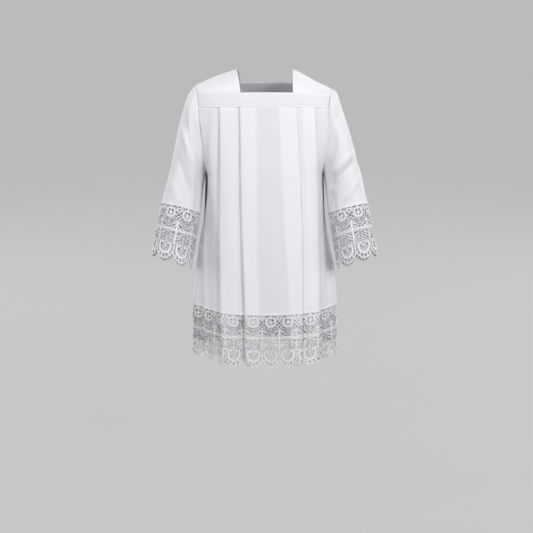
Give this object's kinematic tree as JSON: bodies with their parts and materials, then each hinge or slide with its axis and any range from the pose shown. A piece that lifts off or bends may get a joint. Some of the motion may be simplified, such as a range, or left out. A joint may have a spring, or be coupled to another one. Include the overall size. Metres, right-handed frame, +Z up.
{
  "type": "surplice",
  "caption": "Hip-length church surplice in its worn form, with a square-necked yoke, knife-pleated body, wide sleeves and deep scalloped lace at hem and cuffs.",
  "frame": {"origin": "midway between the neck's two upper corners, on the shoulders that carry the garment", "axes": "+Z up, the front faces -Y, the wearer's left is at +X"},
  "size_m": [0.7454, 0.3331, 0.9688],
  "materials": {
    "cloth": "thin plain white weave, slightly sheer, matte",
    "lace": "raised white guipure lace, matte"
  },
  "bodies": {
    "root": {"front": "cloth", "back": "cloth", "yoke_front": "cloth", "yoke_back": "cloth", "shoulder_left": "cloth", "shoulder_right": "cloth", "sleeve_left": "cloth", "sleeve_right": "cloth", "hem_lace_front": "lace", "hem_lace_back": "lace", "cuff_lace_left_front": "lace", "cuff_lace_left_back": "lace", "cuff_lace_right_front": "lace", "cuff_lace_right_back": "lace"}
  },
  "joints": []
}
